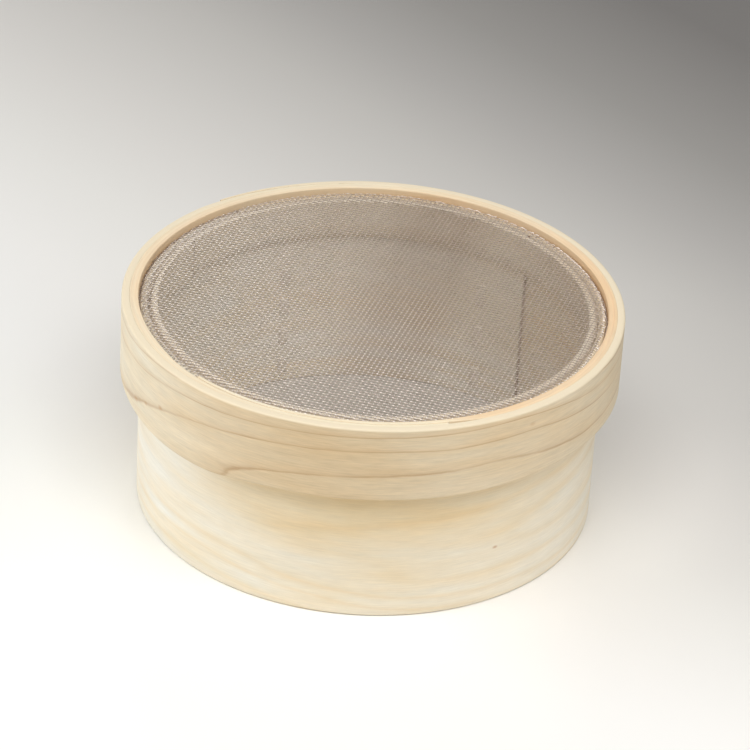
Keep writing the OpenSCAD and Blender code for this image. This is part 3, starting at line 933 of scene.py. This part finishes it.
# %% Weave the cloth
cloth = {"Pitch": PITCH * MM, "Wire": WIRE * MM, "Flat radius": FLAT_R * MM,
         "Bend radius": BEND_R * MM, "Tail": -1.3 * MM, "Height": CLOTH_Z * MM,
         "Unevenness": 0.06 * MM, "Sides": 5, "Material": wire_steel}
turn = math.radians(WEAVE_TURN)
warp = grown("cloth_warp", weave, {**cloth, "Turn": turn, "Over": 1.0, "Seed": 3})
weft = grown("cloth_weft", weave, {**cloth, "Turn": turn + math.pi / 2, "Over": -1.0, "Seed": 8})
fold = grown("cloth_edge", skirt, {
    "Around": 322, "Levels": 11, "Pitch": PITCH * MM, "Wire": WIRE * MM,
    "Radius": (FLAT_R + BEND_R) * MM, "Bend radius": BEND_R * MM,
    "Bend start": (CLOTH_Z - BEND_R) * MM, "Sides": 4, "Material": wire_steel})
for piece, node in ((warp, "warp_wires"), (weft, "weft_wires"), (fold, "cloth_fold")):
    stand_for(piece, node)

# %% [markdown]
# ## The bark lacings
# Strips of cherry bark are sewn through slits in running stitch, once on the inner face and
# once on the outer one, and their ends are tucked into the wood. One stitch is a staple that
# is bent from a flat strip; the next is the same staple turned round and set one stitch
# higher. That is a repeat, so Geometry Nodes sew it.

# %% Tree of a lacing
sewing, given = open_tree("running stitch", [
    ("Stitches", "Int", 5), ("Stitch", "Float", 0.01), ("Width", "Float", 0.004),
    ("Thickness", "Float", 0.0005), ("Wall", "Float", 0.0032), ("Radius", "Float", 0.09),
    ("Foot", "Float", 0.004), ("Angle", "Float", 0.0), ("Inside first", "Float", 1.0),
    ("Material", "Material", None)])
t = sewing
out = sums(t, "MULTIPLY_ADD", given["Thickness"], 0.5,
           sums(t, "MULTIPLY_ADD", given["Wall"], 0.5, 0.00006))
staple = put(t, "GeometryNodeCurvePrimitiveQuadrilateral", {"mode": "POINTS"},
             {"Point 1": vector(t), "Point 2": vector(t, out),
              "Point 3": vector(t, out, 0.0, given["Stitch"]),
              "Point 4": vector(t, 0.0, 0.0, given["Stitch"])})
staple = put(t, "GeometryNodeSetSplineCyclic", None, {"Geometry": staple, "Cyclic": False})
bent = put(t, "GeometryNodeFilletCurve", {"mode": "POLY"},
           {"Curve": staple, "Count": 4, "Radius": sums(t, "MULTIPLY", given["Thickness"], 1.1)})
strip = put(t, "GeometryNodeCurvePrimitiveQuadrilateral", None,
            {"Width": given["Width"], "Height": given["Thickness"]})
sewn = put(t, "GeometryNodeCurveToMesh", None,
           {"Curve": bent, "Profile Curve": strip, "Fill Caps": True})
rows = put(t, "GeometryNodeMeshLine", {"mode": "OFFSET"},
           {"Count": given["Stitches"], "Start Location": vector(t, 0.0, 0.0, given["Foot"]),
            "Offset": vector(t, 0.0, 0.0, given["Stitch"])})
odd = sums(t, "MODULO", sums(t, "ADD", put(t, "GeometryNodeInputIndex"), given["Inside first"]),
           2.0)
sewn = put(t, "GeometryNodeInstanceOnPoints", None,
           {"Points": rows, "Instance": sewn,
            "Rotation": vector(t, 0.0, 0.0, sums(t, "MULTIPLY", odd, math.pi))})
sewn = put(t, "GeometryNodeTransform", None,
           {"Geometry": sewn, "Translation": vector(t, given["Radius"])})
sewn = put(t, "GeometryNodeRealizeInstances", None, {"Geometry": sewn})
sewn = put(t, "GeometryNodeTransform", None,
           {"Geometry": sewn, "Rotation": vector(t, 0.0, 0.0, given["Angle"])})
finish_tree(t, sewn, given["Material"])
print("sewing tree has", len(t.nodes), "nodes")

# %% [markdown]
# ## Cherry bark
# The outer face of the bark is smooth and reddish brown, with short pale pores across it, and
# its back is pale. Running stitch shows the face outside the wall and the back inside it. The
# distance from the drum's axis tells the shader which of the two it paints, because both are
# faces of one staple.

# %% Cherry bark
bark, tree, shader = new_material("cherry bark")
at = put(tree, "ShaderNodeTexCoord", None, None, 3)
mottle = cloudy(tree, at, (500.0, 500.0, 160.0), 3.0)
lenticel = cloudy(tree, at, (350.0, 350.0, 2400.0), 1.0)
pale = ranged(tree, lenticel, 0.35, 0.75, 0.0, 0.7)
mottle = sums(tree, "MULTIPLY_ADD", mottle, 0.4, 0.5)
face = mixed(tree, mottle, paint(128, 84, 62), paint(164, 114, 84))
face = mixed(tree, pale, face, paint(202, 164, 132))
back = mixed(tree, mottle, paint(226, 215, 198), paint(240, 229, 212))
outside = sums(tree, "GREATER_THAN", from_axis(tree, at), BODY_MIDDLE * MM)
tree.links.new(mixed(tree, outside, back, face), shader.inputs["Base Color"])
tree.links.new(sums(tree, "MULTIPLY_ADD", pale, 0.3, 0.34), shader.inputs["Roughness"])
shader.inputs["Coat Weight"].default_value = 0.25
bumped = put(tree, "ShaderNodeBump", None, {"Strength": 0.3, "Distance": 0.0002, "Height": lenticel})
tree.links.new(bumped, shader.inputs["Normal"])
print("bark has", len(tree.nodes), "nodes")

# %% Sew the lacings
LACE_INSET = math.degrees(22.5 / BODY_R)
STRIP_W = 4.0
STRIP_T = 0.5
for name, node, angle, stitches, wall, middle, foot, length, inside in (
    ("bark_inner_end", "body_lacing_inner_end", BODY_LAP_AT + LACE_INSET, 5, BODY_T,
     BODY_MIDDLE, 4.0, 50.6, 1.0),
    ("bark_outer_end", "body_lacing_outer_end", BODY_LAP_AT + BODY_LAP - LACE_INSET, 7, BODY_T,
     BODY_MIDDLE, 4.0, 50.6, 1.0),
    ("bark_hoop", "hoop_lacing", OUTER_LAP_AT + OUTER_LAP / 2, 3, OUTER_PLY_T,
     HOOP_MIDDLE, 61.6, 22.4, 0.0),
):
    piece = grown(name, sewing, {
        "Stitches": stitches, "Stitch": length / stitches * MM, "Width": STRIP_W * MM,
        "Thickness": STRIP_T * MM, "Wall": wall * MM, "Radius": middle * MM, "Foot": foot * MM,
        "Angle": math.radians(angle), "Inside first": inside, "Material": bark})
    stand_for(piece, node)

# %% [markdown]
# ## The table and the light
# The sieve stands on pale paper that darkens away from the light, to the back right. The
# paper's own colour carries that, so its shadow stays true. Four soft lamps light it. The
# strongest hangs over the table, a little to the front, and two stand at the left and the
# right. A small weak one behind makes the crests of the wires glint. A lamp is set by the
# brightness that it gives a white card at the drum, because that is how a photographer
# measures it. The room adds little light, but the wires mirror it.

# %% Paper under the sieve
PAPER = [(0.0, (254, 254, 251)), (0.2, (252, 252, 248)), (0.28, (250, 249, 246)),
         (0.36, (246, 244, 240)), (0.44, (239, 237, 232)), (0.52, (230, 227, 222)),
         (0.6, (219, 216, 211)), (0.68, (206, 203, 198)), (0.76, (187, 184, 180)),
         (0.85, (166, 163, 159)), (1.0, (138, 135, 132))]
# Painted shade: the paper inside the drum's foot is darker.
UNDER_DRUM_SHADE = paint(200, 195, 187)
paper, tree, shader = new_material("pale paper")
shader.inputs["Roughness"].default_value = 0.9
shader.inputs["Specular IOR Level"].default_value = 0.1
at = put(tree, "ShaderNodeTexCoord", None, None, 3)
spot = put(tree, "ShaderNodeSeparateXYZ", None, {0: at}).node.outputs
away = sums(tree, "MULTIPLY_ADD", spot[0], 1.15, spot[1])
away = sums(tree, "ADD", away, 0.35)
paper_colour = ramp(tree, away, [(where, paint(*colour)) for where, colour in PAPER])
under = ranged(tree, from_axis(tree, at), 0.09, 0.092, 1.0, 0.0, "LINEAR")
tree.links.new(mixed(tree, under, paper_colour, UNDER_DRUM_SHADE), shader.inputs["Base Color"])
mesh = bpy.data.meshes.new("paper")
HALF = 4.0
LOW = -0.0002
mesh.from_pydata([(-HALF, -HALF, LOW), (HALF, -HALF, LOW), (HALF, HALF, LOW), (-HALF, HALF, LOW)],
                 [], [(0, 1, 2, 3)])
mesh.materials.append(paper)
floor = add_object("paper", mesh)
print("paper is", 2 * HALF, "m wide")

# %% Lamps
AIM = Vector((0.0, 0.0, 0.05))


def softbox(name, at, size, level):
    """Square lamp that looks at the drum and gives a white card there this brightness"""
    away = Vector(at) - AIM
    lamp = bpy.data.lights.new(name, "AREA")
    lamp.shape = "SQUARE"
    lamp.size = size
    lamp.energy = level * math.pi ** 2 * away.length_squared
    holder = add_object(name, lamp)
    holder.location = at
    holder.rotation_mode = "QUATERNION"
    holder.rotation_quaternion = away.to_track_quat("Z", "Y")
    print(name, "at", at, "gives", level)


softbox("lamp_left", (-1.2, -0.1, 0.5), 0.9, 0.53)
softbox("lamp_over", (0.0, -0.65, 1.35), 1.1, 0.7)
softbox("lamp_right", (0.85, -0.5, 0.85), 1.1, 0.44)
softbox("lamp_back", (-0.1, 1.2, 0.8), 0.5, 0.12)

# %% Light of the room
ROOM_SEEN = 0.8
ROOM_MIRRORED = 0.45
ROOM_LIGHT = 0.03
world = bpy.data.worlds.new("room")
bpy.context.scene.world = world
world.use_nodes = True
tree = world.node_tree
tree.nodes.clear()
rays = put(tree, "ShaderNodeLightPath").node.outputs
seen = sums(tree, "MAXIMUM", rays["Is Camera Ray"], rays["Is Transmission Ray"])
level = sums(tree, "MAXIMUM", sums(tree, "MULTIPLY", seen, ROOM_SEEN), ROOM_LIGHT)
level = sums(tree, "MAXIMUM", sums(tree, "MULTIPLY", rays["Is Glossy Ray"], ROOM_MIRRORED), level)
shader = put(tree, "ShaderNodeBackground", None, {"Color": (1.0, 1.0, 1.0, 1.0), "Strength": level})
tree.links.new(shader, tree.nodes.new("ShaderNodeOutputWorld").inputs[0])
print("room lights with", ROOM_LIGHT)

# %% [markdown]
# ## The camera
# The rim's ellipse tells how high a camera stands, and how little the drum narrows towards
# its foot tells how far away it is: here, about 30 degrees up with a long lens. A camera
# looks along its own -Z with its +Y up, so its axes are read from a heading that looks
# along +Y. Turned, tilted and rolled angles are in radians.

# %% Camera at the height and distance of the photograph
LENS = 172.8
STAND = (0.0, -1.24318, 0.79359)
TURN = -0.0018
TILT = -0.5369
ROLL = -0.0604
lens = bpy.data.cameras.new("camera")
lens.sensor_width = 36.0
lens.lens = LENS
camera = add_object("camera", lens)
heading = Matrix.Rotation(TURN, 3, "Z") @ Matrix.Rotation(TILT, 3, "X")
heading = heading @ Matrix.Rotation(ROLL, 3, "Y")
looks = Matrix((heading.col[0], heading.col[2], -heading.col[1])).transposed()
camera.matrix_world = Matrix.Translation(STAND) @ looks.to_4x4()
bpy.context.scene.camera = camera
bpy.context.scene.view_settings.view_transform = "Standard"
print("camera looks down by", round(math.degrees(-TILT), 1), "degrees")

# %% [markdown]
# ## Bringing the scene up to date
# The pieces that are seen stay inside the box of the solids. The scene is brought up to date at the
# end.

# %% Bring the scene up to date
bpy.context.view_layer.update()
